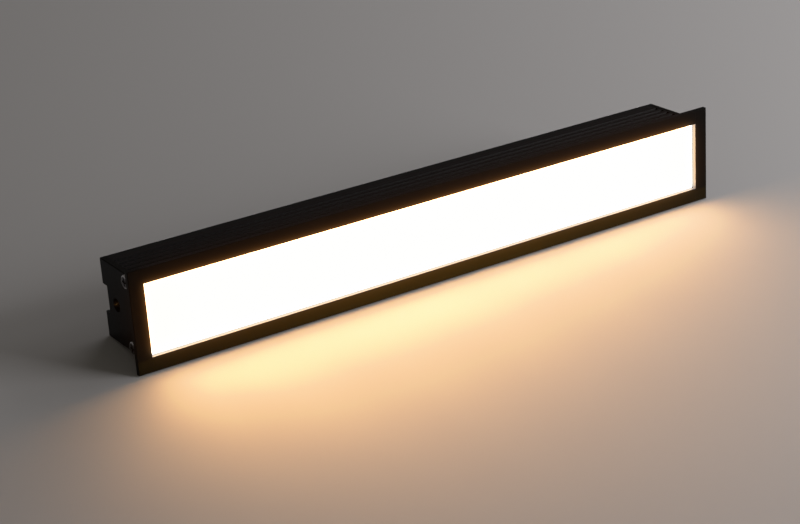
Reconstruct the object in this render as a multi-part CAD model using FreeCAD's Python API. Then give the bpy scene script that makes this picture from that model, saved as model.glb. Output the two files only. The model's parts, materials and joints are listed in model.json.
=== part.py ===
import FreeCAD, Part
import math
import os

# Recessed linear LED luminaire with a trim, in millimetres.
# X runs along the light, Y from the lit face into the housing, Z up.
# The origin is the centre of the panel opening, in the plane where the trim seats on the panel.

V = FreeCAD.Vector
AXIS_X, AXIS_Y, AXIS_Z = V(1, 0, 0), V(0, 1, 0), V(0, 0, 1)

# ---- overall size ----
LENGTH = 300.0  # trim, end to end
HEIGHT = 45.0  # trim, top to bottom
TRIM_T = 2.2  # trim thickness in front of the panel
BODY_DEPTH = 32.8  # housing behind the panel
BODY_H = 35.1  # housing height
END_BAR_W = 6.7  # trim width at the two ends
OPEN_H = 31.9  # height of the lit opening
EDGE = 0.2  # broken outer edges
LIT_EDGE = 0.1  # bevel round the lit opening
MILL_RELIEF = 0.1  # lip's back face set back where the end cap stands

# ---- extruded profile ----
WALL = 2.1
BACK_WALL = 1.5
BACK_R = 0.5  # rear corners of the housing
WEB_Y, WEB_T = 10.4, 1.5  # shelf that carries the lamps
LEDGE_Y = 3.0  # step that the diffuser rests on
GROOVE_PITCH, GROOVE_COUNT, GROOVE_Y0 = 4.0, 6, 4.4
GROOVE_W, GROOVE_FLOOR, GROOVE_DEPTH = 2.0, 1.4, 0.9
SNAP_Y, SNAP_W, SNAP_DEPTH = 3.7, 1.7, 0.5  # groove for the diffuser's barbs
PORT_Y, PORT_Z, PORT_R, PORT_BORE, PORT_SLIT = 7.9, 14.6, 2.4, 1.36, 1.4  # screw ports
SLOT_W, SLOT_DEPTH, SLOT_MOUTH, SLOT_LIP, SLOT_WALL = 12.4, 4.2, 8.0, 1.2, 1.2  # rear slot

# ---- end caps ----
CAP_INSET = 4.0  # cap plate inside the end of the trim
CAP_T = 3.0
CAP_EDGE = 0.3
CABLE_Y, CABLE_R = 21.0, 3.0
SCREW_HOLE_R = 1.65
END_SCREW_L = 11.0
GROMMET_BORE, GROMMET_FLANGE, GROMMET_LIP = 2.1, 4.6, 4.0  # radii
GROMMET_FLANGE_T, GROMMET_LIP_T = 1.5, 1.2

# ---- diffuser ----
DIFFUSER_FRONT, DIFFUSER_T, DIFFUSER_R = 0.2, 1.2, 0.6
TRAY_RIM, TRAY_EDGE = 0.8, 0.3  # raised rim round the recessed face
DIFFUSER_PLAY = 0.1
LEG_Z, LEG_T, LEG_DEPTH, BARB = 14.3, 1.0, 2.2, 0.55
LEG_END_GAP = 0.6

# ---- lamps ----
PAD_T = 0.3
BOARD_T, BOARD_H, BOARD_L = 1.6, 22.5, 282.0
LED_PITCH_X, LED_COLUMNS, LED_PITCH_Z, LED_ROWS = 7.0, 39, 7.0, 3
LED_L, LED_H, LED_T, LED_CORNER = 3.5, 2.8, 0.7, 0.25
WELL_L, WELL_H, WELL_T, WELL_FLOOR = 2.5, 1.8, 0.45, 0.08
BOARD_SCREW_X, BOARD_SCREW_Z = (-122.5, -73.5, -24.5, 24.5, 73.5, 122.5), 3.5
BOARD_SCREW_L = 4.4
LEAD_X, LEAD_R, LEAD_Z = -138.5, 0.7, 1.2  # where the leads come through the web
LEAD_HOLE_R, LEAD_NOTCH, LEAD_BEND = 2.4, 5.0, 4.0
SOLDER_Z, SOLDER_R, SOLDER_T = 6.0, 1.3, 0.8
SHEET_T, REFLECTOR_FOOT = 0.4, 1.3
REFLECTOR_TOP_Y, REFLECTOR_TOP_Z = 3.4, 13.8

# ---- driver, in the rear chamber ----
DRIVER_L, DRIVER_H, DRIVER_T, DRIVER_Y = 110.0, 27.0, 1.6, 15.4
DRIVER_HOLE_X, DRIVER_HOLE_Z, DRIVER_HOLE_R = 51.5, 10.5, 1.6
STANDOFF_R = 2.5
FILM_T, FILM_Y, FILM_L, FILM_EDGE_Y, FILM_HOLE_R = 0.25, 13.2, 116.0, 27.2, 2.8
TERMINAL_X, TERMINAL_L, TERMINAL_T, POLE = 46.0, 8.0, 10.0, 5.0
ENTRY_UP, ENTRY_IN, ENTRY_R = 4.0, 3.0, 1.1  # where a lead enters its terminal
LEVER, LEVER_W, LEVER_DEPTH = 3.8, 2.4, 1.2
TRANSFORMER_X, TRANSFORMER_L, TRANSFORMER_W, TRANSFORMER_T = -14.0, 16.0, 5.2, 9.4
TRANSFORMER_FOOT, TRANSFORMER_BASE_W = 0.6, 13.0
FERRITE_LEG, FERRITE_YOKE, FERRITE_CENTRE, COIL_T, COIL_R = 1.6, 2.4, 3.0, 1.4, 1.2
CHOKE_X, CHOKE_Z, CHOKE_R, CHOKE_T, CHOKE_RIM, CHOKE_POST = 31.5, 6.0, 4.5, 9.0, 1.2, 2.0
FILM_CAP_X, FILM_CAP_L, FILM_CAP_T, FILM_CAP_W = 21.0, 6.0, 9.4, 13.0
FUSE_X, FUSE_Z, FUSE_L, FUSE_CAP_L, FUSE_CAP_R, FUSE_R = 27.0, -7.0, 9.0, 1.6, 1.8, 1.6
CHIP_X, RECTIFIER_Z, CONTROL_Z = 13.0, 7.0, -6.0

# ---- earth connection ----
EARTH_X, EARTH_Z, EARTH_SCREW_L = 76.0, -8.0, 2.2
TAG_T, TAG_R, TAG_HOLE_R, TAG_NECK_W = 0.8, 3.4, 1.6, 2.6
BARREL_X, BARREL_L, BARREL_R = 66.5, 5.0, 1.3

# ---- screws: thread radius, head radius, head height ----
M3_LOW = (1.34, 2.95, 1.3)
M3_SMALL = (1.45, 2.75, 1.6)
M25 = (1.2, 2.2, 1.4)
THREAD_PLAY = 0.05

BODY_END = LENGTH / 2 - CAP_INSET - CAP_T
BAR_IN = LENGTH / 2 - END_BAR_W
CAP_OUT = LENGTH / 2 - CAP_INSET
INNER = BODY_H / 2 - WALL
PAD_Y = WEB_Y - PAD_T
BOARD_Y = PAD_Y - BOARD_T
WEB_BACK = WEB_Y + WEB_T
BACK_IN = BODY_DEPTH - BACK_WALL
SLOT_Y = BODY_DEPTH - SLOT_DEPTH
DRIVER_TOP = DRIVER_Y + DRIVER_T
ENTRY_Y = DRIVER_TOP + ENTRY_UP


def box(x, y, z):
    """A box from three (low, high) pairs."""
    return Part.makeBox(x[1] - x[0], y[1] - y[0], z[1] - z[0], V(x[0], y[0], z[0]))


def both(half):
    """The pair (-half, half)."""
    return (-half, half)


def prism_x(outline, x0, x1):
    """A prism along X over a (y, z) outline."""
    points = [V(x0, y, z) for y, z in outline]
    return Part.Face(Part.makePolygon(points + points[:1])).extrude(V(x1 - x0, 0, 0))


def rod(start, axis, radius, length):
    return Part.makeCylinder(radius, length, V(*start), axis)


def flip_z(shape):
    return shape.mirror(V(0, 0, 0), AXIS_Z)


def flip_x(shape):
    return shape.mirror(V(0, 0, 0), AXIS_X)


def edges_at(shape, test):
    """The edges whose bounding box passes a test."""
    return [edge for edge in shape.Edges if test(edge.BoundBox)]


def cut_all(shape, tools):
    return shape.cut(Part.makeCompound(tools))


def lathe(profile, start, axis):
    """A solid turned round axis from start; the profile lists (distance along, radius)."""
    points = [V(radius, 0, along) for along, radius in profile]
    points = [V(0, 0, profile[0][0])] + points + [V(0, 0, profile[-1][0])]
    turned = Part.Face(Part.makePolygon(points + points[:1])).revolve(V(0, 0, 0), AXIS_Z, 360)
    turned.Placement = FreeCAD.Placement(V(*start), FreeCAD.Rotation(AXIS_Z, axis))
    return turned


def pan_screw(seat, axis, size, length):
    """A cross-recess pan-head screw; axis points from the seat out of the head."""
    thread_r, head_r, head_t = size
    tip = thread_r * 0.35
    rise = head_t * 0.45
    steps = 6
    crown = []
    for i in range(1, steps):
        turn = math.pi / 2 * i / steps
        out = head_r - rise + rise * math.cos(turn)
        crown.append((head_t - rise + rise * math.sin(turn), out))
    profile = [(-length, thread_r - tip), (-length + tip, thread_r), (0, thread_r), (0, head_r)]
    profile += [(head_t - rise, head_r)] + crown + [(head_t, head_r - rise)]
    screw = lathe(profile, (0, 0, 0), AXIS_Z)
    arm, blade, deep = head_r * 0.6, head_r * 0.15, head_t * 0.6
    cross = [
        box(both(arm), both(blade), (head_t - deep, head_t + 1)),
        box(both(blade), both(arm), (head_t - deep, head_t + 1)),
        lathe([(head_t - deep * 1.2, 0.1), (head_t, head_r * 0.3)], (0, 0, 0), AXIS_Z),
    ]
    screw = cut_all(screw, cross)
    screw.Placement = FreeCAD.Placement(V(*seat), FreeCAD.Rotation(AXIS_Z, axis))
    return screw


def tube(points, radius, bend):
    """A round lead along straight runs joined by tangent arcs of up to the bend radius."""
    corners = [V(*p) for p in points]
    edges = []
    here = corners[0]
    for before, corner, after in zip(corners, corners[1:], corners[2:]):
        back, ahead = before - corner, after - corner
        half = (math.pi - back.getAngle(ahead)) / 2
        reach = min(bend * math.tan(half), 0.45 * back.Length, 0.45 * ahead.Length)
        back.normalize()
        ahead.normalize()
        first, last = corner + back * reach, corner + ahead * reach
        inward = (back + ahead).normalize()
        arc_r = reach / math.tan(half)
        middle = corner + inward * (arc_r / math.cos(half) - arc_r)
        edges.append(Part.LineSegment(here, first).toShape())
        edges.append(Part.Arc(first, middle, last).toShape())
        here = last
    edges.append(Part.LineSegment(here, corners[-1]).toShape())
    start_dir = corners[1] - corners[0]
    ring = Part.Wire([Part.makeCircle(radius, corners[0], start_dir)])
    return Part.Wire(edges).makePipeShell([ring], True, True)


def body_block(x0, x1):
    """The housing's outer block, with its rear corners rounded."""
    block = box((x0, x1), (0, BODY_DEPTH), both(BODY_H / 2))
    rear = edges_at(block, lambda b: b.YMin > BODY_DEPTH - 0.01 and b.XLength > b.ZLength)
    return block.makeFillet(BACK_R, rear)


# ---------------------------------------------------------------- housing


def lip():
    """The upper long side of the trim, part of the profile."""
    front, low, high = -TRIM_T, OPEN_H / 2, HEIGHT / 2
    outline = [(0, low), (front + LIT_EDGE, low), (front, low + LIT_EDGE)]
    outline += [(front, high - EDGE), (front + EDGE, high), (0, high)]
    relief = box((BODY_END, BAR_IN), (-MILL_RELIEF, 0), (low, BODY_H / 2))
    return cut_all(prism_x(outline, -BAR_IN, BAR_IN), [relief, flip_x(relief)])


def groove(y):
    """One cooling groove along the upper side."""
    top, floor = BODY_H / 2, BODY_H / 2 - GROOVE_DEPTH
    outline = [(y - GROOVE_W / 2, top + 0.01), (y + GROOVE_W / 2, top + 0.01)]
    outline += [(y + GROOVE_FLOOR / 2, floor), (y - GROOVE_FLOOR / 2, floor)]
    return prism_x(outline, -BODY_END - 1, BODY_END + 1)


def housing_extrusion():
    full = both(BODY_END)
    over = both(BODY_END + 1)
    shape = body_block(*full)
    shape = cut_all(
        shape,
        [
            box(over, (-1, LEDGE_Y), both(OPEN_H / 2)),
            box(over, (LEDGE_Y, WEB_Y), both(INNER)),
            box(over, (WEB_BACK, BACK_IN), both(INNER)),
        ],
    )
    port = rod((-BODY_END, PORT_Y, PORT_Z), AXIS_X, PORT_R, 2 * BODY_END)
    channel = box(full, (SLOT_Y - SLOT_WALL, BACK_IN), both(SLOT_W / 2 + SLOT_WALL))
    shape = shape.fuse([port, flip_z(port), channel, lip(), flip_z(lip())])
    bore = rod((-BODY_END - 1, PORT_Y, PORT_Z), AXIS_X, PORT_BORE, 2 * BODY_END + 2)
    slit = (PORT_Z - PORT_SLIT / 2, PORT_Z + PORT_SLIT / 2)
    upper = [bore, box(over, (PORT_Y - PORT_R - 0.1, PORT_Y), slit)]
    upper.append(box(over, (SNAP_Y, SNAP_Y + SNAP_W), (INNER - 0.1, INNER + SNAP_DEPTH)))
    upper += [groove(GROOVE_Y0 + i * GROOVE_PITCH) for i in range(GROOVE_COUNT)]
    cuts = upper + [flip_z(tool) for tool in upper]
    cuts.append(box(over, (SLOT_Y, BODY_DEPTH - SLOT_LIP), both(SLOT_W / 2)))
    cuts.append(box(over, (SLOT_Y, BODY_DEPTH + 1), both(SLOT_MOUTH / 2)))
    cuts.append(web_hole(LEAD_X, 0, LEAD_HOLE_R))
    cuts.append(web_hole(EARTH_X, EARTH_Z, M3_SMALL[0] + THREAD_PLAY))
    cuts += [web_hole(x, z, M25[0] + THREAD_PLAY) for x, z in board_screw_places()]
    cuts += [web_hole(x, z, M3_SMALL[0] + THREAD_PLAY) for x, z in driver_hole_places()]
    return cut_all(shape, cuts).removeSplitter()


def web_hole(x, z, radius):
    """A drill for a hole through the web alone."""
    return rod((x, WEB_Y - 0.5, z), AXIS_Y, radius, WEB_T + 1)


# ---------------------------------------------------------------- end caps


def end_cap():
    """The right end cap: trim bar, plate, cable hole, screw holes and slot notch."""
    half_h = HEIGHT / 2
    bar = box((BAR_IN, LENGTH / 2), (-TRIM_T, 0), both(half_h))
    outer = edges_at(bar, lambda b: b.YMax < -TRIM_T + 0.01 and (b.XMin > BAR_IN or b.XLength > 1))
    bar = bar.makeChamfer(EDGE, outer)
    lit = [V(BAR_IN, -TRIM_T, 0), V(BAR_IN + LIT_EDGE, -TRIM_T, 0), V(BAR_IN, -TRIM_T + LIT_EDGE, 0)]
    wedge = Part.Face(Part.makePolygon(lit + lit[:1])).extrude(V(0, 0, OPEN_H))
    wedge.translate(V(0, 0, -OPEN_H / 2))
    bar = bar.cut(wedge)

    plate = body_block(BODY_END, CAP_OUT)
    rim = edges_at(plate, lambda b: b.XMin > CAP_OUT - 0.01 and b.YMax > 1)
    plate = plate.makeChamfer(CAP_EDGE, rim)
    relief_y = LEDGE_Y + DIFFUSER_PLAY
    thick = (BODY_END - 1, CAP_OUT + 1)
    shape = cut_all(
        bar.fuse(plate),
        [
            box((BODY_END - 1, BAR_IN), (-1, relief_y), both(OPEN_H / 2)),
            box(thick, (SLOT_Y, BODY_DEPTH + 1), both(SLOT_W / 2)),
            rod((BODY_END - 1, CABLE_Y, 0), AXIS_X, CABLE_R, CAP_T + 2),
            rod((BODY_END - 1, PORT_Y, PORT_Z), AXIS_X, SCREW_HOLE_R, CAP_T + 2),
            rod((BODY_END - 1, PORT_Y, -PORT_Z), AXIS_X, SCREW_HOLE_R, CAP_T + 2),
        ],
    )
    return shape.removeSplitter()


def end_cap_screws():
    seats = [(side, z) for side in (-1, 1) for z in (PORT_Z, -PORT_Z)]
    places = [((side * CAP_OUT, PORT_Y, z), V(side, 0, 0)) for side, z in seats]
    return [pan_screw(seat, axis, M3_LOW, END_SCREW_L) for seat, axis in places]


def cable_grommet():
    """Rubber bushing snapped into the right cable hole."""
    inside, outside = BODY_END - GROMMET_LIP_T, CAP_OUT + GROMMET_FLANGE_T
    taper, round_off = 0.6, 0.8
    profile = [(inside, GROMMET_LIP - taper), (BODY_END - taper / 2, GROMMET_LIP)]
    profile += [(BODY_END, GROMMET_LIP), (BODY_END, CABLE_R), (CAP_OUT, CABLE_R)]
    profile += [(CAP_OUT, GROMMET_FLANGE), (outside - round_off, GROMMET_FLANGE)]
    profile += [(outside, GROMMET_FLANGE - round_off)]
    body = lathe(profile, (0, CABLE_Y, 0), AXIS_X)
    return body.cut(rod((inside - 1, CABLE_Y, 0), AXIS_X, GROMMET_BORE, outside - inside + 2))


# ---------------------------------------------------------------- light chamber


def diffuser():
    """Opal snap-in tray: a recessed face inside a raised rim, with two barbed legs."""
    half_l, half_h = BAR_IN - DIFFUSER_PLAY * 2, OPEN_H / 2 - DIFFUSER_PLAY
    plate = box(both(half_l), (DIFFUSER_FRONT, LEDGE_Y), both(half_h))
    plate = plate.makeFillet(DIFFUSER_R, edges_at(plate, lambda b: b.YLength > 1))
    face_y = LEDGE_Y - DIFFUSER_T
    pocket = box(both(half_l - TRAY_RIM), (DIFFUSER_FRONT - 1, face_y), both(half_h - TRAY_RIM))
    hollow_edges = edges_at(pocket, lambda b: b.YLength > 1 or b.YMin > face_y - 0.01)
    plate = plate.cut(pocket.makeFillet(TRAY_EDGE, hollow_edges))
    out, end = LEG_Z + LEG_T, LEDGE_Y + LEG_DEPTH
    catch = SNAP_Y + 0.2
    barb_top, barb_end = catch + 0.5, catch + 1.1
    outline = [(LEDGE_Y, LEG_Z), (LEDGE_Y, out), (catch, out), (catch + 0.2, out + BARB)]
    outline += [(barb_top, out + BARB), (barb_end, out), (end, out - 0.3), (end, LEG_Z)]
    leg = prism_x(outline, -BODY_END + LEG_END_GAP, BODY_END - LEG_END_GAP)
    return plate.fuse([leg, flip_z(leg)]).removeSplitter()


def board_screw_places():
    return [(x, z) for x in BOARD_SCREW_X for z in both(BOARD_SCREW_Z)]


def lamp_sheet(y, thick):
    """A sheet the size of the lamp board, notched for the leads and drilled for the screws."""
    sheet = box(both(BOARD_L / 2), (y, y + thick), both(BOARD_H / 2))
    notch_x = (-BOARD_L / 2 - 1, -BOARD_L / 2 + LEAD_NOTCH)
    cuts = [box(notch_x, (y - 1, y + thick + 1), both(LEAD_NOTCH / 2))]
    for x, z in board_screw_places():
        cuts.append(rod((x, y - 1, z), AXIS_Y, M25[0] + 2 * THREAD_PLAY, thick + 2))
    return cut_all(sheet, cuts)


def led_places():
    first_x, first_z = -LED_PITCH_X * (LED_COLUMNS - 1) / 2, -LED_PITCH_Z * (LED_ROWS - 1) / 2
    rows = [first_z + LED_PITCH_Z * i for i in range(LED_ROWS)]
    columns = [first_x + LED_PITCH_X * i for i in range(LED_COLUMNS)]
    return [(x, z) for z in rows for x in columns]


def led_packages():
    """White packages, each with a well for its phosphor."""
    package = box(both(LED_L / 2), (BOARD_Y - LED_T, BOARD_Y), both(LED_H / 2))
    upright = edges_at(package, lambda b: b.YLength > LED_T / 2)
    package = package.makeChamfer(LED_CORNER, upright)
    well = box(both(WELL_L / 2), (BOARD_Y - LED_T - 1, BOARD_Y - LED_T + WELL_T), both(WELL_H / 2))
    package = package.cut(well)
    return [package.translated(V(x, 0, z)) for x, z in led_places()]


def led_phosphors():
    """Yellow phosphor that fills each well to just under its rim."""
    deep = (BOARD_Y - LED_T + WELL_FLOOR, BOARD_Y - LED_T + WELL_T)
    fill = box(both(WELL_L / 2), deep, both(WELL_H / 2))
    return [fill.translated(V(x, 0, z)) for x, z in led_places()]


def led_board_screws():
    seats = board_screw_places()
    return [pan_screw((x, BOARD_Y, z), -AXIS_Y, M25, BOARD_SCREW_L) for x, z in seats]


def side_reflector():
    """Upper white reflector: a folded strip with a foot on the lamp board."""
    foot_out = BOARD_H / 2 - THREAD_PLAY
    foot_in = foot_out - REFLECTOR_FOOT
    foot_y, lean = BOARD_Y - SHEET_T, SHEET_T * 1.1
    outline = [(BOARD_Y, foot_in), (BOARD_Y, foot_out), (REFLECTOR_TOP_Y, REFLECTOR_TOP_Z)]
    outline += [(REFLECTOR_TOP_Y, REFLECTOR_TOP_Z - lean), (foot_y, foot_out - lean), (foot_y, foot_in)]
    return prism_x(outline, -BOARD_L / 2, BOARD_L / 2)


# ---------------------------------------------------------------- wiring


def lead(side, pole_z):
    """One lamp lead: terminal, along the rear chamber, through the web, to its solder pad."""
    start_x = -TERMINAL_X - TERMINAL_L / 2 + ENTRY_IN
    low_y = WEB_BACK + 2.6
    turn_y = BOARD_Y - 1.7
    z = side * LEAD_Z
    points = [
        (start_x, ENTRY_Y, pole_z),
        (-58.0, ENTRY_Y, pole_z),
        (-70.0, low_y + 1.0, side * 3.0),
        (-98.0, low_y, side * 1.6),
        (-122.0, low_y + 0.3, side * 2.0),
        (LEAD_X, low_y, z),
        (LEAD_X, turn_y, z),
        (LEAD_X, turn_y, side * SOLDER_Z),
        (LEAD_X, BOARD_Y - SOLDER_T, side * SOLDER_Z),
    ]
    return tube(points, LEAD_R, LEAD_BEND)


def lead_solder():
    """Solder domes that tie the two leads to the lamp board."""
    profile = [(0, SOLDER_R), (SOLDER_T * 0.6, SOLDER_R * 0.85), (SOLDER_T, SOLDER_R * 0.6)]
    return [lathe(profile, (LEAD_X, BOARD_Y, z), -AXIS_Y) for z in both(SOLDER_Z)]


def earth_lead():
    """From the input terminal down to the tag's barrel."""
    barrel_y = WEB_BACK + BARREL_R
    points = [
        (TERMINAL_X + TERMINAL_L / 2 - ENTRY_IN, ENTRY_Y, -POLE),
        (58.0, ENTRY_Y, -POLE),
        (61.5, barrel_y, EARTH_Z),
        (BARREL_X, barrel_y, EARTH_Z),
    ]
    return tube(points, LEAD_R, LEAD_BEND)


def earth_tag():
    """Ring tag, crimped to the earth lead and screwed to the web."""
    flat = (WEB_BACK, WEB_BACK + TAG_T)
    ring = rod((EARTH_X, WEB_BACK, EARTH_Z), AXIS_Y, TAG_R, TAG_T)
    neck_z = (EARTH_Z - TAG_NECK_W / 2, EARTH_Z + TAG_NECK_W / 2)
    neck = box((BARREL_X + BARREL_L - 0.5, EARTH_X), flat, neck_z)
    barrel = rod((BARREL_X, WEB_BACK + BARREL_R, EARTH_Z), AXIS_X, BARREL_R, BARREL_L)
    hole = rod((EARTH_X, WEB_BACK - 1, EARTH_Z), AXIS_Y, TAG_HOLE_R, TAG_T + 2)
    return ring.fuse([neck, barrel]).cut(hole).removeSplitter()


def earth_screw():
    return pan_screw((EARTH_X, WEB_BACK + TAG_T, EARTH_Z), AXIS_Y, M3_SMALL, EARTH_SCREW_L)


# ---------------------------------------------------------------- driver


def driver_hole_places():
    return [(x, z) for x in both(DRIVER_HOLE_X) for z in both(DRIVER_HOLE_Z)]


def driver_board():
    board = box(both(DRIVER_L / 2), (DRIVER_Y, DRIVER_TOP), both(DRIVER_H / 2))
    places = driver_hole_places()
    holes = [rod((x, DRIVER_Y - 1, z), AXIS_Y, DRIVER_HOLE_R, DRIVER_T + 2) for x, z in places]
    return cut_all(board, holes)


def driver_standoffs():
    height = DRIVER_Y - WEB_BACK
    posts = []
    for x, z in driver_hole_places():
        post = rod((x, WEB_BACK, z), AXIS_Y, STANDOFF_R, height)
        posts.append(post.cut(rod((x, WEB_BACK - 1, z), AXIS_Y, DRIVER_HOLE_R, height + 2)))
    return posts


def driver_screws():
    length = DRIVER_TOP - WEB_Y - 0.2
    places = driver_hole_places()
    return [pan_screw((x, DRIVER_TOP, z), AXIS_Y, M3_SMALL, length) for x, z in places]


def driver_insulation():
    """Folded insulating film between the driver and the metal housing."""
    half_z = INNER - 2 * THREAD_PLAY
    outer = box(both(FILM_L / 2), (FILM_Y, FILM_EDGE_Y), both(half_z))
    hollow = box(both(FILM_L / 2 + 1), (FILM_Y + FILM_T, FILM_EDGE_Y + 1), both(half_z - FILM_T))
    holes = [rod((x, FILM_Y - 1, z), AXIS_Y, FILM_HOLE_R, 2) for x, z in driver_hole_places()]
    return cut_all(outer, [hollow] + holes)


def terminal(side, poles):
    """A push-in terminal block, open towards its end of the housing."""
    half_z = poles * POLE / 2
    near, far = side * (TERMINAL_X - TERMINAL_L / 2), side * (TERMINAL_X + TERMINAL_L / 2)
    top = DRIVER_TOP + TERMINAL_T
    block = box(sorted((near, far)), (DRIVER_TOP, top), both(half_z))
    block = block.makeChamfer(0.5, edges_at(block, lambda b: b.YMin > DRIVER_TOP + 1))
    cuts = []
    for i in range(poles):
        z = (i - (poles - 1) / 2) * POLE
        cuts.append(rod((far + side, ENTRY_Y, z), V(-side, 0, 0), ENTRY_R, 5.0))
        lever = box(both(LEVER / 2), (top - LEVER_DEPTH, top + 1), both(LEVER_W / 2))
        cuts.append(lever.translated(V(side * TERMINAL_X, 0, z)))
    return cut_all(block, cuts)


def transformer_parts():
    """Ferrite core, its winding and the base that carries both, on a common centre."""
    x, half_l, half_w = TRANSFORMER_X, TRANSFORMER_L / 2, TRANSFORMER_W / 2
    foot = DRIVER_TOP + TRANSFORMER_FOOT
    top = foot + TRANSFORMER_T
    mid, half_c = (foot + top) / 2, FERRITE_CENTRE / 2
    whole = (x - half_l, x + half_l)
    inside = (x - half_l + FERRITE_YOKE, x + half_l - FERRITE_YOKE)
    windows = [
        box(inside, (foot + FERRITE_LEG, mid - half_c), both(half_w + 1)),
        box(inside, (mid + half_c, top - FERRITE_LEG), both(half_w + 1)),
    ]
    core = cut_all(box(whole, (foot, top), both(half_w)), windows)
    deep, wide = half_c + COIL_T, half_w + COIL_T
    coil = box((inside[0] + 0.2, inside[1] - 0.2), (mid - deep, mid + deep), both(wide))
    coil = coil.makeFillet(COIL_R, edges_at(coil, lambda b: b.XLength > 5))
    coil = coil.cut(box(inside, (mid - half_c, mid + half_c), both(half_w)))
    base = box(whole, (DRIVER_TOP, foot), both(TRANSFORMER_BASE_W / 2))
    return core, coil, base


def can_capacitor(x, radius, length):
    """An electrolytic capacitor lying across the driver board, crimped near one end."""
    half = length / 2
    crimp, neck, soft = half - 3.0, radius - 0.5, 0.4
    profile = [(-half, radius - soft), (-half + soft, radius), (crimp, radius)]
    profile += [(crimp + 0.5, neck), (crimp + 0.9, neck), (crimp + 1.4, radius)]
    profile += [(half - soft, radius), (half, radius - soft)]
    return lathe(profile, (x, DRIVER_TOP + radius, 0), AXIS_Z)


def film_capacitor():
    span = (FILM_CAP_X - FILM_CAP_L / 2, FILM_CAP_X + FILM_CAP_L / 2)
    block = box(span, (DRIVER_TOP, DRIVER_TOP + FILM_CAP_T), both(FILM_CAP_W / 2))
    rounded = edges_at(block, lambda b: b.YMin > DRIVER_TOP + 1 or b.YLength > 5)
    return block.makeFillet(0.6, rounded)


def choke_core():
    """Ferrite drum of the mains filter choke."""
    profile = [(0, CHOKE_R), (CHOKE_RIM, CHOKE_R), (CHOKE_RIM, CHOKE_POST)]
    profile += [(CHOKE_T - CHOKE_RIM, CHOKE_POST), (CHOKE_T - CHOKE_RIM, CHOKE_R), (CHOKE_T, CHOKE_R)]
    return lathe(profile, (CHOKE_X, DRIVER_TOP, CHOKE_Z), AXIS_Y)


def choke_winding():
    """Copper winding between the drum's rims, in rounded layers."""
    turns = 8
    span = (CHOKE_T - 2 * CHOKE_RIM) / turns
    valley, crest = CHOKE_R - 0.8, CHOKE_R - 0.5
    profile = []
    for i in range(turns):
        low = CHOKE_RIM + i * span
        profile += [(low, valley), (low + span * 0.3, crest), (low + span * 0.7, crest)]
    profile.append((CHOKE_T - CHOKE_RIM, valley))
    wound = lathe(profile, (CHOKE_X, DRIVER_TOP, CHOKE_Z), AXIS_Y)
    return wound.cut(rod((CHOKE_X, DRIVER_TOP, CHOKE_Z), AXIS_Y, CHOKE_POST, CHOKE_T))


def fuse():
    """A tube fuse with a metal cap at each end."""
    profile = [(0, FUSE_CAP_R), (FUSE_CAP_L, FUSE_CAP_R), (FUSE_CAP_L, FUSE_R)]
    profile += [(FUSE_L - FUSE_CAP_L, FUSE_R), (FUSE_L - FUSE_CAP_L, FUSE_CAP_R), (FUSE_L, FUSE_CAP_R)]
    return lathe(profile, (FUSE_X, DRIVER_TOP + FUSE_CAP_R, FUSE_Z), AXIS_X)


def flat_chip(z, length, width, thick, legs):
    """A moulded chip on gull-wing legs."""
    lift, leg_w, leg_t, reach, bevel = 0.2, 0.5, 0.5, 0.9, 0.2
    low = DRIVER_TOP + lift
    body = box(both(length / 2), (low, low + thick), both(width / 2))
    body = body.makeChamfer(bevel, edges_at(body, lambda b: b.YMin > low + 0.1))
    feet = []
    for i in range(legs):
        leg_x = (i - (legs - 1) / 2) * length / legs
        across = (leg_x - leg_w / 2, leg_x + leg_w / 2)
        feet.append(box(across, (DRIVER_TOP, DRIVER_TOP + leg_t), both(width / 2 + reach)))
    return body.fuse(feet).removeSplitter().translated(V(CHIP_X, 0, z))


def save(node, shape):
    """Writes one node: a solid, or a group of separate solids."""
    solids = shape if isinstance(shape, list) else [shape]
    shape = Part.makeCompound(solids) if len(solids) > 1 else solids[0]
    if not shape.isValid():
        raise ValueError(node + " is not a valid shape")
    shape.exportStep("parts/" + node + ".step")
    print(node, len(shape.Solids), round(shape.Volume, 1))


def main():
    os.makedirs("parts", exist_ok=True)
    cap = end_cap()
    reflector = side_reflector()
    core, coil, base = transformer_parts()
    save("housing_extrusion", housing_extrusion())
    save("end_cap_right", cap)
    save("end_cap_left", flip_x(cap))
    save("end_cap_screws", end_cap_screws())
    save("cable_grommet", cable_grommet())
    save("diffuser", diffuser())
    save("thermal_pad", lamp_sheet(PAD_Y, PAD_T))
    save("led_board", lamp_sheet(BOARD_Y, BOARD_T))
    save("led_packages", led_packages())
    save("led_phosphors", led_phosphors())
    save("led_board_screws", led_board_screws())
    save("side_reflector_upper", reflector)
    save("side_reflector_lower", flip_z(reflector))
    save("lead_positive", lead(1, POLE / 2))
    save("lead_negative", lead(-1, -POLE / 2))
    save("lead_solder", lead_solder())
    save("earth_lead", earth_lead())
    save("earth_tag", earth_tag())
    save("earth_screw", earth_screw())
    save("driver_board", driver_board())
    save("driver_insulation", driver_insulation())
    save("driver_standoffs", driver_standoffs())
    save("driver_screws", driver_screws())
    save("input_terminal", terminal(1, 3))
    save("output_terminal", terminal(-1, 2))
    save("transformer_core", core)
    save("transformer_winding", coil)
    save("transformer_base", base)
    save("input_capacitor", can_capacitor(x=4.0, radius=4.6, length=17.0))
    save("output_capacitor", can_capacitor(x=-33.0, radius=4.0, length=14.0))
    save("film_capacitor", film_capacitor())
    save("choke_core", choke_core())
    save("choke_winding", choke_winding())
    save("fuse", fuse())
    save("bridge_rectifier", flat_chip(RECTIFIER_Z, length=4.8, width=4.0, thick=2.4, legs=2))
    save("control_chip", flat_chip(CONTROL_Z, length=5.0, width=3.9, thick=1.5, legs=4))


main()
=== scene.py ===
import json
import math
import bpy
from mathutils import Matrix, Vector


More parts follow.
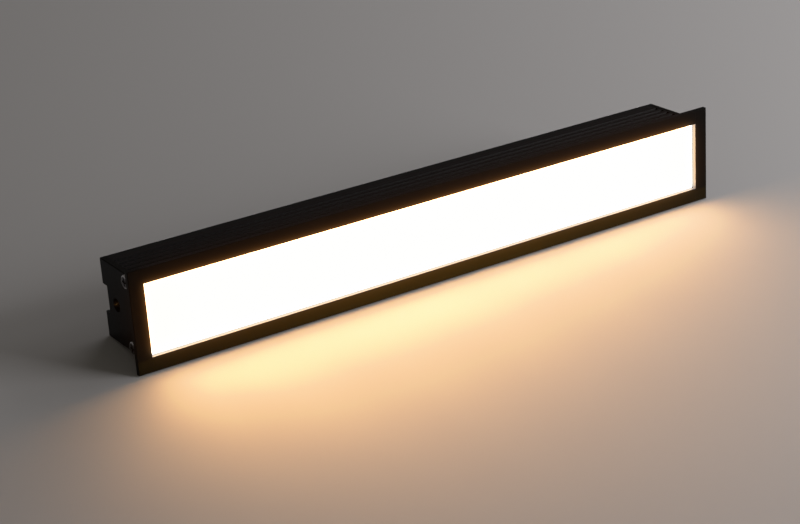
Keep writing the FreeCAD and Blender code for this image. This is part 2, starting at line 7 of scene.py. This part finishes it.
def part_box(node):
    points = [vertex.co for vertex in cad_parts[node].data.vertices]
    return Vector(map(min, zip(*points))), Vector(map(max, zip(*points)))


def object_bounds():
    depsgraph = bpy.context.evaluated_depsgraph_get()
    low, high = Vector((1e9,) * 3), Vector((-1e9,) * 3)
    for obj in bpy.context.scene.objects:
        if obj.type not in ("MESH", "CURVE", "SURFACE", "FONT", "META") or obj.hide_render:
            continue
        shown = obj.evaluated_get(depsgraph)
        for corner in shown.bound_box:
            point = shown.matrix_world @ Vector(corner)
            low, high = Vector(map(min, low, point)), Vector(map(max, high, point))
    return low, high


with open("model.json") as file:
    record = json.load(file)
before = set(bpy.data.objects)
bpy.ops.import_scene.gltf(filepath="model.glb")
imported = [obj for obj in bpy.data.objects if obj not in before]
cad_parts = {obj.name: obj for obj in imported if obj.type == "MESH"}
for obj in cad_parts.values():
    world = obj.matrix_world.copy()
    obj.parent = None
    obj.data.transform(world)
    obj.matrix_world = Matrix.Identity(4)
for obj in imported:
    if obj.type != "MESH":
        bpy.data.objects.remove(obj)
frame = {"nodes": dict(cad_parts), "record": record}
cad_low, cad_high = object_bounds()

MM = 0.001
NODES = frame["nodes"]

# ---- the lit cover and the lamp behind it ----
LAMP_COLOUR = (1.0, 0.5, 0.16)  # warm white in a picture balanced for daylight
FACE_STRENGTH, FACE_END_SHARE = 7.0, 0.7  # the lit face, and how much of that its ends give
FACE_FADE = (0.12, 0.146)  # distances from the middle between which it falls off
FACE_STEP = (1.4 * MM, 1.7 * MM)  # Y at which the cover's rim ends and its recessed face begins
RIM_COLOUR, RIM_STRENGTH = (1.0, 0.92, 0.72), 4.0
PHOSPHOR_COLOUR, PHOSPHOR_STRENGTH = (1.0, 0.72, 0.36), 1.0
LAMP_SEGMENTS = (  # from left to right: output in a forward beam, to all sides, and downwards
    (10.3, 9.4, 0.55),
    (7.2, 9.2, 0.85),
    (7.2, 8.4, 1.0),
    (4.0, 8.2, 1.0),
    (0.6, 9.0, 1.1),
    (0.0, 4.6, 0.15),
)
BEAM, DOWN_BEAM = math.radians(120), math.radians(76)  # full angles of the first and third
DOWN_ANGLE = math.radians(48)  # how far below straight ahead the third points
LAMP_INSET, LAMP_OVER = 0.9 * MM, 0.9 * MM  # in from the cover's ends; past the reflectors' tops
LAMP_DEPTH = 1.3 * MM  # from the front of the cover's rim back to the lights, just off its face
DOWN_STEP = Vector((0, -1.6, 5.0))  # mm from there to the strips that shine downwards
DOWN_HEIGHT = 4 * MM
LEAK_SIZE, LEAK_POWER = 3 * MM, 0.0006

# ---- the trim ----
FRONT_EDGE = (-2.1 * MM, -2.0 * MM)  # Y over which the front face's tint ends
FRONT_SHEEN, FRONT_TINT = 0.06, (0.004, 0.0032, 0.0026)
LOWER_LIP = (-17 * MM, -16 * MM)  # Z over which the lower lip's tint ends
PAINTED_POOL_TINT = (0.036, 0.024, 0.003)  # painted reflection: the lamp's warm pool shown in the colour of the lower lip
PAINTED_POOL_FADE, PAINTED_POOL_END_SHARE = (0.04, 0.14), 0.35  # the painted reflection falls off between these |X|
WALL_SHEEN, WALL_GLOW_TINT = 0.5, (0.13, 0.16, 0.24)  # the thin walls round the lit opening: a stronger real sheen, and a paler tint painted on for the lit cover's glow
WALL_END = (0.3 * MM, 0.5 * MM)  # Y over which their tint ends
WALL_REACH = {"X": 0.25 * MM, "Z": 0.15 * MM}  # how far outside the cover it goes
WALL_FADE = 0.1 * MM  # and the width over which it ends there
SCREW_GLINT_RIM = (0.74, 0.86)  # shares of a screw head's radius where the bright rim, a painted highlight, begins

# ---- the stage ----
FLOOR_TINT = (0.603, 0.584, 0.592)
SKY_COLOUR, SKY_STRENGTH = (1.0, 0.93, 0.78, 1.0), 0.082
KEY_AT, KEY_SIZE, KEY_POWER = (0.6, -0.5, 0.35), (0.5, 0.5), 3.6  # places are in the floor's frame
BACK_AT, BACK_SIZE, BACK_POWER = (0.9, 0.4, 0.6), (1.4, 0.4), 3.3
LIGHTS_AIM = (0.1, 0.1, 0.0)
REAR_AT, REAR_SIZE, REAR_POWER = (0.6, 0.85, -0.02), (1.1, 0.06), 8.0  # in the object's frame
CAMERA_AT = (-0.437048, -0.665696, 0.308277)
CAMERA_AHEAD, CAMERA_UP = (0.490217, 0.786878, -0.374847), (0.254649, 0.282002, 0.925002)
SENSOR_MM, LENS_MM, LENS_SHIFT = 36.0, 88.38, 0.0006

# ---- the picture's response ----
GLOW_THRESHOLD = 1.2
GLOWS = (  # strength, size, tint
    (0.056, 0.02, (1.0, 0.88, 0.72, 1.0)),
    (0.017, 0.1, (1.0, 0.55, 0.05, 1.0)),
)
CLIP_REACH, CLIP_LOSS = 0.45, 0.27  # how far past white red pulls green down, and how much
SHOULDER = 6.0  # higher is a harder corner at white


# ---------------------------------------------------------------- shader helpers


class Look:
    """A material under construction, with short calls that add and link its nodes."""

    def __init__(self, name):
        self.mat = bpy.data.materials.new(name)
        self.mat.use_nodes = True
        self.tree = self.mat.node_tree
        self.shader = self.tree.nodes["Principled BSDF"]
        self.place = self.add("ShaderNodeTexCoord").outputs["Object"]

    def feed(self, socket, value):
        """Links or sets a socket, and leaves it alone when the value is None."""
        if isinstance(value, bpy.types.NodeSocket):
            self.tree.links.new(value, socket)
        elif value is not None:
            socket.default_value = value

    def add(self, kind, inputs=(), **settings):
        node = self.tree.nodes.new(kind)
        for key, value in settings.items():
            setattr(node, key, value)
        for key, value in dict(inputs).items():
            self.feed(node.inputs[key], value)
        return node

    def stretch(self, scale):
        """Object coordinates scaled apart on each axis."""
        node = self.add("ShaderNodeMapping", {"Vector": self.place, "Scale": scale})
        return node.outputs["Vector"]

    def noise(self, scale, detail=2.0, rough=0.5, along=None):
        """Noise from 0 to 1, scale in cells per metre; along scales each axis apart as well."""
        where = self.place if along is None else self.stretch(along)
        sockets = {"Vector": where, "Scale": scale, "Detail": detail, "Roughness": rough}
        return self.add("ShaderNodeTexNoise", sockets).outputs["Fac"]

    def ramp(self, value, low, high, to_low=0.0, to_high=1.0):
        """Value clamped and mapped from low..high to to_low..to_high."""
        node = self.add("ShaderNodeMapRange", {"Value": value})
        for index, number in enumerate((low, high, to_low, to_high), 1):
            self.feed(node.inputs[index], number)
        return node.outputs["Result"]

    def mix(self, amount, one, two):
        """Colour one where amount is 0 and colour two where it is 1."""
        node = self.add("ShaderNodeMix", data_type="RGBA")
        self.feed(node.inputs[0], amount)
        for index, colour in ((6, one), (7, two)):
            value = colour if isinstance(colour, bpy.types.NodeSocket) else (*colour, 1.0)
            self.feed(node.inputs[index], value)
        return node.outputs[2]

    def math(self, operation, one, two=None):
        node = self.add("ShaderNodeMath", operation=operation)
        self.feed(node.inputs[0], one)
        self.feed(node.inputs[1], two)
        return node.outputs[0]

    def bump(self, height, distance, under=None):
        """A bump that is distance high in metres, on top of another normal if there is one."""
        sockets = {"Height": height, "Distance": distance, "Strength": 1.0, "Normal": under}
        return self.add("ShaderNodeBump", sockets).outputs["Normal"]

    def round_edges(self, radius):
        """A normal that turns over sharp edges as a small rounding would."""
        node = self.add("ShaderNodeBevel", {"Radius": radius}, samples=6)
        return node.outputs["Normal"]

    def edge_mask(self, radius):
        """0 on flat ground and 1 on sharp edges."""
        rounded = self.round_edges(radius)
        flat = self.add("ShaderNodeNewGeometry").outputs["True Normal"]
        dot = self.add("ShaderNodeVectorMath", operation="DOT_PRODUCT")
        self.feed(dot.inputs[0], rounded)
        self.feed(dot.inputs[1], flat)
        flat_cosine, edge_cosine = 0.99, 0.72
        return self.ramp(dot.outputs["Value"], flat_cosine, edge_cosine)

    def set(self, **sockets):
        """Feeds the shader's own sockets; underscores in a name stand for spaces."""
        for key, value in sockets.items():
            name = key.replace("_", " ")
            if isinstance(value, tuple) and len(value) == 3 and "Color" in name:
                value = (*value, 1.0)
            self.feed(self.shader.inputs[name], value)
        return self.mat


# ---------------------------------------------------------------- materials


def wall_glow_mask(look, place):
    """1 on the thin walls round the lit opening, where a paler tint is painted on for the lit
    cover's glow; 0 elsewhere.
    """
    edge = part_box("diffuser")[1]
    mask = look.ramp(place.outputs["Y"], *WALL_END, 1.0, 0.0)
    for axis, side in (("X", edge.x), ("Z", edge.z)):
        limit = side + WALL_REACH[axis]
        reach = look.math("ABSOLUTE", place.outputs[axis])
        mask = look.math("MULTIPLY", mask, look.ramp(reach, limit, limit + WALL_FADE, 1.0, 0.0))
    return mask


def black_anodised(name, drawn, tint, sheen):
    """Satin black anodised aluminium; drawn adds the die lines of an extrusion along X.

    The trim's front face has a darker tint of its own; its lower lip has a painted reflection of
    the lamp's pool, and the walls round the opening a paler tint painted on for the lit cover's
    glow.
    """
    look = Look(name)
    cloud = look.noise(14.0, 3.0)
    grain = look.noise(5200.0, 2.0, 0.6)
    lines = look.noise(1.0, 3.0, 0.65, along=(7.0, 5200.0, 5200.0))
    fine = look.mix(0.35, lines, grain) if drawn else grain
    colour = look.mix(cloud, tint, tuple(c * 1.35 for c in tint))
    patches = look.ramp(look.noise(240.0, 4.0, 0.7), 0.52, 0.8, 0.0, 0.55)
    worn = look.math("MULTIPLY", look.edge_mask(0.00022), patches)
    colour = look.mix(worn, colour, (0.16, 0.16, 0.165))
    rough = look.ramp(fine, 0.25, 0.75, 0.34, 0.47)
    normal = look.bump(fine, 0.000012 if drawn else 0.00001, under=look.round_edges(0.00018))
    place = look.add("ShaderNodeSeparateXYZ", {"Vector": look.place})
    front = look.ramp(place.outputs["Y"], *FRONT_EDGE, 1.0, 0.0)
    colour = look.mix(front, colour, FRONT_TINT)
    # painted reflection of the lamp's pool: a warm tint on the front of the lower lip, weaker
    # towards its ends
    lip = look.ramp(place.outputs["Z"], *LOWER_LIP, 1.0, 0.0)
    from_middle = look.math("ABSOLUTE", place.outputs["X"])
    painted_pool_falloff = look.ramp(from_middle, *PAINTED_POOL_FADE, 1.0, PAINTED_POOL_END_SHARE)
    warm = look.math("MULTIPLY", look.math("MULTIPLY", front, lip), painted_pool_falloff)
    colour = look.mix(warm, colour, PAINTED_POOL_TINT)
    # painted glow: the walls beside the lit cover get a paler tint as well as their real sheen
    wall = wall_glow_mask(look, place)
    colour = look.mix(wall, colour, WALL_GLOW_TINT)
    outside = look.ramp(front, 0.0, 1.0, sheen, FRONT_SHEEN)
    level = look.ramp(wall, 0.0, 1.0, outside, WALL_SHEEN)
    return look.set(Base_Color=colour, Roughness=rough, Normal=normal, Specular_IOR_Level=level)


def metal(name, colour, rough):
    """Bare or plated metal with fine uneven polish."""
    look = Look(name)
    grain = look.noise(3000.0, 3.0, 0.6)
    stain = look.noise(420.0, 4.0, 0.6)
    tone = look.mix(look.ramp(stain, 0.4, 0.75), colour, tuple(c * 0.72 for c in colour))
    level = look.ramp(grain, 0.3, 0.7, rough * 0.75, rough * 1.35)
    normal = look.bump(grain, 0.000008, under=look.round_edges(0.0001))
    return look.set(Base_Color=tone, Metallic=1.0, Roughness=level, Normal=normal)


def plated_screw():
    """Zinc-plated steel, dull, with a bright colour painted on the rounded rims of the end screws
    as a highlight.
    """
    look = Look("plated_screw")
    low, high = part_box("end_cap_screws")
    radius = (high.y - low.y) / 2
    place = look.add("ShaderNodeSeparateXYZ", {"Vector": look.place})
    across = look.math("SUBTRACT", place.outputs["Y"], low.y + radius)
    height = look.math("ABSOLUTE", place.outputs["Z"])
    along = look.math("SUBTRACT", height, high.z - radius)
    squares = [look.math("MULTIPLY", side, side) for side in (across, along)]
    reach = look.math("SQRT", look.math("ADD", *squares))
    # painted highlight: the head's rim is coloured bright against the dull face, for the glint a
    # rounded rim catches
    rim = look.ramp(reach, *(radius * share for share in SCREW_GLINT_RIM))
    grain = look.noise(3000.0, 3.0, 0.6)
    colour = look.mix(rim, (0.13, 0.13, 0.14), (0.92, 0.91, 0.95))
    level = look.ramp(grain, 0.3, 0.7, 0.18, 0.3)
    normal = look.bump(grain, 0.000008, under=look.round_edges(0.0001))
    return look.set(Base_Color=colour, Metallic=1.0, Roughness=level, Normal=normal)


def plastic(name, colour, rough, grain_mm, depth=0.00001, vary=0.82):
    """Moulded plastic, rubber or lacquer with a fine skin; vary is how dark its clouds get."""
    look = Look(name)
    skin = look.noise(1.0 / (grain_mm * MM), 2.0, 0.6)
    cloud = look.noise(60.0, 3.0)
    tone = look.mix(cloud, tuple(c * vary for c in colour), colour)
    level = look.ramp(skin, 0.3, 0.7, rough * 0.85, rough * 1.15)
    return look.set(Base_Color=tone, Roughness=level, Normal=look.bump(skin, depth))


def opal_diffuser():
    """Frosted polycarbonate lit from behind: a warm face inside a paler rim."""
    look = Look("opal_diffuser")
    frost = look.noise(3500.0, 2.0, 0.6)
    look.set(Base_Color=(0.86, 0.84, 0.8), Roughness=0.42, Normal=look.bump(frost, 0.000006))
    place = look.add("ShaderNodeSeparateXYZ", {"Vector": look.place})
    from_middle = look.math("ABSOLUTE", place.outputs["X"])
    ends = FACE_STRENGTH * FACE_END_SHARE
    face_strength = look.ramp(from_middle, *FACE_FADE, FACE_STRENGTH, ends)
    on_face = look.ramp(place.outputs["Y"], *FACE_STEP)
    strength = look.ramp(on_face, 0.0, 1.0, RIM_STRENGTH, face_strength)
    glow = look.mix(on_face, RIM_COLOUR, LAMP_COLOUR)
    return look.set(Emission_Color=glow, Emission_Strength=strength)


def led_phosphor():
    """Yellow phosphor gel, glowing; the area lights carry the lamp's output."""
    look = Look("led_phosphor")
    grain = look.noise(9000.0, 2.0)
    tone = look.mix(grain, (0.85, 0.55, 0.08), (0.95, 0.7, 0.16))
    look.set(Base_Color=tone, Roughness=0.35)
    look.set(Emission_Color=PHOSPHOR_COLOUR, Emission_Strength=PHOSPHOR_STRENGTH)
    look.mat.cycles.emission_sampling = "NONE"
    return look.mat


def circuit_board(name, mask, copper):
    """Solder mask over faintly raised copper tracks."""
    look = Look(name)
    cells_per_metre = 260.0
    cells = look.add(
        "ShaderNodeTexVoronoi",
        {"Vector": look.stretch((cells_per_metre,) * 3), "Scale": 1.0},
        feature="DISTANCE_TO_EDGE",
        distance="MANHATTAN",
    )
    track = look.ramp(cells.outputs["Distance"], 0.05, 0.09)
    tone = look.mix(track, mask, copper)
    normal = look.bump(track, 0.00003)
    return look.set(Base_Color=tone, Roughness=0.28, Normal=normal, Coat_Weight=0.3)


def wound(name, colour, rough, pitch_mm, axis):
    """Windings: fine rings square to one axis."""
    look = Look(name)
    rings_per_metre = 1.0 / (pitch_mm * MM)
    wave = look.add(
        "ShaderNodeTexWave",
        {"Vector": look.place, "Scale": rings_per_metre / 6.2832 * 2.0},
        wave_type="BANDS",
        bands_direction=axis,
    )
    rings = wave.outputs["Fac"]
    tone = look.mix(rings, tuple(c * 0.55 for c in colour), colour)
    return look.set(Base_Color=tone, Roughness=rough, Normal=look.bump(rings, 0.00008))


def striped_lead(name, one, two):
    """Lead insulation with stripes in a second colour."""
    look = Look(name)
    height = look.add("ShaderNodeSeparateXYZ", {"Vector": look.place}).outputs["Z"]
    half_pitch, stripe_edge = 0.0009, (0.00042, 0.0005)
    stripe = look.ramp(look.math("PINGPONG", height, half_pitch), *stripe_edge)
    tone = look.mix(stripe, one, two)
    return look.set(Base_Color=tone, Roughness=0.4, Normal=look.bump(look.noise(2500.0), 0.00001))


LOOKS = {  # material slot: the function that makes its look, and what it is given
    "black_anodised_profile": (black_anodised, "profile", True, (0.012, 0.0106, 0.0112), 0.07),
    "black_end_cap": (black_anodised, "end_cap", False, (0.0042, 0.004, 0.0043), 0.09),
    "plated_screw": (plated_screw,),
    "black_rubber": (plastic, "black_rubber", (0.016, 0.016, 0.016), 0.62, 0.2, 0.00002),
    "opal_diffuser": (opal_diffuser,),
    "grey_silicone": (plastic, "grey_silicone", (0.42, 0.44, 0.47), 0.7, 0.5),
    "white_board": (circuit_board, "white_board", (0.84, 0.84, 0.82), (0.9, 0.9, 0.88)),
    "white_reflector": (plastic, "white_reflector", (0.9, 0.9, 0.88), 0.5, 0.3),
    "led_package": (plastic, "led_package", (0.9, 0.89, 0.86), 0.3, 0.2),
    "led_phosphor": (led_phosphor,),
    "red_lead": (plastic, "red_lead", (0.55, 0.03, 0.025), 0.38, 0.3),
    "black_lead": (plastic, "black_lead", (0.022, 0.022, 0.022), 0.38, 0.3),
    "earth_lead": (striped_lead, "earth_lead", (0.08, 0.35, 0.05), (0.75, 0.65, 0.05)),
    "solder": (metal, "solder", (0.7, 0.7, 0.72), 0.2),
    "tinned_tag": (metal, "tinned_tag", (0.66, 0.66, 0.66), 0.32),
    "green_board": (circuit_board, "green_board", (0.012, 0.12, 0.045), (0.03, 0.2, 0.08)),
    "insulating_film": (plastic, "insulating_film", (0.8, 0.82, 0.83), 0.3, 1.2),
    "nylon": (plastic, "nylon", (0.8, 0.78, 0.72), 0.45, 0.3),
    "terminal_plastic": (plastic, "terminal_plastic", (0.05, 0.24, 0.09), 0.42, 0.3),
    "ferrite": (plastic, "ferrite", (0.035, 0.035, 0.038), 0.55, 0.15, 0.00003, 0.6),
    "yellow_tape": (wound, "yellow_tape", (0.8, 0.55, 0.06), 0.3, 1.5, "X"),
    "black_plastic": (plastic, "black_plastic", (0.02, 0.02, 0.021), 0.42, 0.15),
    "capacitor_sleeve": (plastic, "capacitor_sleeve", (0.02, 0.022, 0.06), 0.25, 0.8),
    "film_case": (plastic, "film_case", (0.8, 0.58, 0.07), 0.35, 0.3),
    "copper_wire": (wound, "copper_wire", (0.72, 0.3, 0.1), 0.28, 0.4, "Y"),
    "fuse_body": (plastic, "fuse_body", (0.72, 0.68, 0.56), 0.4, 0.3),
}


def dress_nodes():
    """Gives every CAD node the look of its material slot in place of the imported material."""
    made = {slot: build(*given) for slot, (build, *given) in LOOKS.items()}
    for part in frame["record"]["subparts"]:
        piece = NODES[part["node"]]
        piece.data.materials.clear()
        piece.data.materials.append(made[part["material_slot"]])
        for face in piece.data.polygons:
            face.material_index = 0


# ---------------------------------------------------------------- stage


def lean_angle():
    """The angle up from the trim's lower rear edge, at Y 0, to the lowest edge behind it."""
    clear_of_trim = 5 * MM
    angles = []
    for name in ("housing_extrusion", "end_cap_left"):
        for vertex in NODES[name].data.vertices:
            if vertex.co.y > clear_of_trim:
                angles.append(math.atan2(vertex.co.z - cad_low.z, vertex.co.y))
    return min(angles)


def floor_frame():
    """The floor's own frame: it touches the trim's lower rear edge and the housing's rear edge."""
    turn = Matrix.Rotation(lean_angle(), 4, "X")
    return Matrix.Translation((0, 0, cad_low.z)) @ turn


def make_floor():
    """A round floor that turns up into a wall, far outside the object."""
    flat_r, wall_r, flat_rings, rings, spokes = 1.9, 1.3, 4, 14, 96
    profile = [(flat_r * i / flat_rings, 0.0) for i in range(flat_rings + 1)]
    for i in range(1, rings + 1):
        turn = math.pi / 2 * i / rings
        profile.append((flat_r + wall_r * math.sin(turn), wall_r * (1 - math.cos(turn))))
    points, faces = [(0.0, 0.0, 0.0)], []
    for radius, height in profile[1:]:
        for j in range(spokes):
            angle = 2 * math.pi * j / spokes
            points.append((radius * math.cos(angle), radius * math.sin(angle), height))
    for j in range(spokes):
        faces.append((0, 1 + j, 1 + (j + 1) % spokes))
    for i in range(len(profile) - 2):
        here, there = 1 + i * spokes, 1 + (i + 1) * spokes
        for j in range(spokes):
            k = (j + 1) % spokes
            faces.append((here + j, there + j, there + k, here + k))
    mesh = bpy.data.meshes.new("floor")
    mesh.from_pydata(points, [], faces)
    mesh.polygons.foreach_set("use_smooth", [True] * len(mesh.polygons))
    floor = bpy.data.objects.new("floor", mesh)
    bpy.context.collection.objects.link(floor)
    floor.matrix_world = floor_frame()
    look = Look("floor_paper")
    look.set(Base_Color=FLOOR_TINT, Roughness=0.9, Specular_IOR_Level=0.15)
    mesh.materials.append(look.mat)


def area_light(name, at, aim, size, power, colour=(1.0, 1.0, 1.0)):
    """A flat light that faces aim and that the camera doesn't see."""
    data = bpy.data.lights.new(name, "AREA")
    data.shape = "RECTANGLE"
    data.size, data.size_y = size
    data.energy = power
    data.color = colour
    light = bpy.data.objects.new(name, data)
    light.location = at
    light.rotation_mode = "QUATERNION"
    light.rotation_quaternion = (Vector(aim) - Vector(at)).to_track_quat("-Z", "Y")
    light.visible_camera = False
    bpy.context.collection.objects.link(light)
    return light


def make_lights():
    """A weak sky, a light in front and one behind, both on the right, and a fill at the rear."""
    world = bpy.data.worlds.new("studio")
    world.use_nodes = True
    sky = world.node_tree.nodes["Background"]
    sky.inputs["Color"].default_value = SKY_COLOUR
    sky.inputs["Strength"].default_value = SKY_STRENGTH
    bpy.context.scene.world = world
    on_floor = floor_frame()
    aim = on_floor @ Vector(LIGHTS_AIM)
    area_light("key", on_floor @ Vector(KEY_AT), aim, KEY_SIZE, KEY_POWER)
    back = area_light("back", on_floor @ Vector(BACK_AT), aim, BACK_SIZE, BACK_POWER)
    back.visible_glossy = False

    # a fill from behind, level with the object and for it alone, so that its rear can be made out
    rear = area_light("rear", REAR_AT, (0, 0, REAR_AT[2]), REAR_SIZE, REAR_POWER)
    alone = bpy.data.collections.new("object")
    for piece in NODES.values():
        alone.objects.link(piece)
    rear.light_linking.receiver_collection = alone
    rear.light_linking.blocker_collection = alone


def lamp_lights():
    """The lamp's output, as flat lights just in front of the diffuser's recessed face."""
    low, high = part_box("diffuser")
    length = (high.x - low.x - 2 * LAMP_INSET) / len(LAMP_SEGMENTS)
    height = 2 * (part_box("side_reflector_upper")[1].z + LAMP_OVER)
    ahead = Vector((0, -1, 0))
    below = Vector((0, -math.cos(DOWN_ANGLE), -math.sin(DOWN_ANGLE)))
    for i, (beam, wide, down) in enumerate(LAMP_SEGMENTS):
        at = Vector((low.x + LAMP_INSET + length * (i + 0.5), low.y + LAMP_DEPTH, 0.0))
        raised = at + DOWN_STEP * MM
        share = math.pi * length * height
        for output, spread, place, way, tall in (
            (beam, BEAM, at, ahead, height),
            (wide, math.pi, at, ahead, height),
            (down, DOWN_BEAM, raised, below, DOWN_HEIGHT),
        ):
            size, power = (length, tall), output * share
            lamp = area_light("lamp", place, place + way, size, power, LAMP_COLOUR)
            lamp.data.spread = spread
            lamp.visible_glossy = way is ahead


def leak_light():
    """Lamp light that gets through to the driver by the hole for the lamp leads."""
    low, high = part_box("lead_solder")
    in_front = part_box("driver_insulation")[0].y - 0.5 * MM
    at = Vector(((low.x + high.x) / 2, in_front, 0.0))
    size = (LEAK_SIZE, LEAK_SIZE)
    light = area_light("leak", at, at + Vector((0, 1, 0)), size, LEAK_POWER, LAMP_COLOUR)
    light.data.shape = "DISK"


def make_camera():
    """The camera at the fitted place: in front of the object, to its left and above it."""
    data = bpy.data.cameras.new("camera")
    data.sensor_width = SENSOR_MM
    data.lens = LENS_MM
    data.shift_y = LENS_SHIFT
    data.clip_start, data.clip_end = 0.05, 20.0
    camera = bpy.data.objects.new("camera", data)
    ahead = Vector(CAMERA_AHEAD).normalized()
    up = Vector(CAMERA_UP).normalized()
    right = ahead.cross(up).normalized()
    up = right.cross(ahead)
    turn = Matrix((right, up, -ahead)).transposed().to_4x4()
    camera.matrix_world = Matrix.Translation(CAMERA_AT) @ turn
    bpy.context.collection.objects.link(camera)
    bpy.context.scene.camera = camera


def photographic_response():
    """A camera's response: glow round the lamp, a colour shift past white, a soft shoulder."""
    scene = bpy.context.scene
    scene.view_settings.view_transform = "Standard"
    scene.use_nodes = True
    tree = scene.node_tree
    tree.nodes.clear()

    def add(kind, image, **values):
        node = tree.nodes.new(kind)
        tree.links.new(image, node.inputs["Image"])
        for name, value in values.items():
            node.inputs[name].default_value = value
        return node

    def sums(operation, one, two):
        node = tree.nodes.new("CompositorNodeMath")
        node.operation = operation
        for socket, value in zip(node.inputs, (one, two)):
            if isinstance(value, float):
                socket.default_value = value
            else:
                tree.links.new(value, socket)
        return node.outputs[0]

    picture = tree.nodes.new("CompositorNodeRLayers").outputs["Image"]
    for strength, size, tint in GLOWS:
        glare = add("CompositorNodeGlare", picture)
        glare.glare_type = "BLOOM"
        glare.quality = "HIGH"
        settings = {"Threshold": GLOW_THRESHOLD, "Strength": strength, "Size": size, "Tint": tint}
        for name, value in settings.items():
            glare.inputs[name].default_value = value
        picture = glare.outputs["Image"]

    # past white, red pulls green down a little, so the brightest part of the pool is more orange
    parts = add("CompositorNodeSeparateColor", picture)
    over = sums("SUBTRACT", parts.outputs["Red"], 1.0)
    loss = sums("MULTIPLY", sums("MINIMUM", sums("MAXIMUM", over, 0.0), CLIP_REACH), CLIP_LOSS)
    whole = tree.nodes.new("CompositorNodeCombineColor")
    tree.links.new(parts.outputs["Red"], whole.inputs["Red"])
    tree.links.new(sums("SUBTRACT", parts.outputs["Green"], loss), whole.inputs["Green"])
    tree.links.new(parts.outputs["Blue"], whole.inputs["Blue"])
    picture = whole.outputs["Image"]

    # the shoulder: each channel c becomes c / (1 + c ** SHOULDER) ** (1 / SHOULDER)
    raised = add("CompositorNodeGamma", picture, Gamma=SHOULDER).outputs["Image"]
    lifted = tree.nodes.new("CompositorNodeMixRGB")
    lifted.blend_type = "ADD"
    lifted.inputs[2].default_value = (1.0, 1.0, 1.0, 1.0)
    tree.links.new(raised, lifted.inputs[1])
    root = add("CompositorNodeGamma", lifted.outputs["Image"], Gamma=1.0 / SHOULDER)
    soft = tree.nodes.new("CompositorNodeMixRGB")
    soft.blend_type = "DIVIDE"
    tree.links.new(picture, soft.inputs[1])
    tree.links.new(root.outputs["Image"], soft.inputs[2])
    add("CompositorNodeComposite", soft.outputs["Image"])


make_camera()
dress_nodes()
make_floor()
make_lights()
lamp_lights()
leak_light()
photographic_response()
